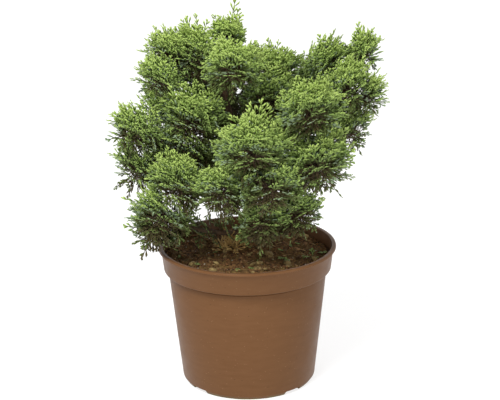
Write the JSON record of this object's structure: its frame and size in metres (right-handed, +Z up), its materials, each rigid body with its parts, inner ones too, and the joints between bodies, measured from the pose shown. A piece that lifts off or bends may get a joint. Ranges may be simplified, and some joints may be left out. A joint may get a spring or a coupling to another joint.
{
  "type": "dwarf hinoki cypress in a nursery pot",
  "caption": "Dwarf hinoki cypress with dense masses of cupped, fan-shaped sprays on a short forked trunk, standing in a round tapered plastic nursery pot filled with soil.",
  "frame": {"origin": "on the ground under the centre of the pot's foot, which is also the centre of the plant's footprint", "axes": "+Z up along the pot's axis; the plant's front faces -Y; +X to the right as seen from the front"},
  "size_m": [0.2902, 0.2416, 0.4151],
  "materials": {
    "pot": "brown moulded plastic, satin, with fine scuffs and dust specks",
    "soil": "dark crumbly peat with bark bits and moss",
    "bark": "fibrous red-brown bark in thin vertical strips",
    "foliage": "waxy scale leaves, yellow-green at the tips, blue-green inside"
  },
  "bodies": {
    "root": {"pot": "pot", "soil": "soil", "trunk": "bark", "bough_left_leader": "bark", "bough_right_leader": "bark", "bough_crown_left": "bark", "bough_crown_front": "bark", "bough_crown_back": "bark", "bough_left_arm": "bark", "bough_left_fold": "bark", "bough_left_ledge": "bark", "bough_skirt_left": "bark", "bough_front_upper": "bark", "bough_front_low": "bark", "bough_skirt_front": "bark", "bough_saddle": "bark", "bough_right_shoulder": "bark", "bough_front_right": "bark", "bough_right_arm": "bark", "bough_right_low": "bark", "bough_crown_right": "bark", "bough_back_left": "bark", "bough_back_right": "bark", "bough_back_low": "bark", "foliage_left_leader_1": "foliage", "foliage_left_leader_2": "foliage", "foliage_right_leader_1": "foliage", "foliage_right_leader_2": "foliage", "foliage_crown_left_1": "foliage", "foliage_crown_left_2": "foliage", "foliage_crown_front": "foliage", "foliage_crown_back_1": "foliage", "foliage_crown_back_2": "foliage", "foliage_left_arm_1": "foliage", "foliage_left_arm_2": "foliage", "foliage_left_fold": "foliage", "foliage_left_ledge_1": "foliage", "foliage_left_ledge_2": "foliage", "foliage_skirt_left_1": "foliage", "foliage_skirt_left_2": "foliage", "foliage_front_upper": "foliage", "foliage_front_low_1": "foliage", "foliage_front_low_2": "foliage", "foliage_skirt_front_1": "foliage", "foliage_skirt_front_2": "foliage", "foliage_saddle_1": "foliage", "foliage_saddle_2": "foliage", "foliage_right_shoulder": "foliage", "foliage_front_right": "foliage", "foliage_right_arm_1": "foliage", "foliage_right_arm_2": "foliage", "foliage_right_low": "foliage", "foliage_crown_right": "foliage", "foliage_back_left_1": "foliage", "foliage_back_left_2": "foliage", "foliage_back_right_1": "foliage", "foliage_back_right_2": "foliage", "foliage_back_low_1": "foliage", "foliage_back_low_2": "foliage", "foliage_back_low_3": "foliage"}
  },
  "joints": []
}
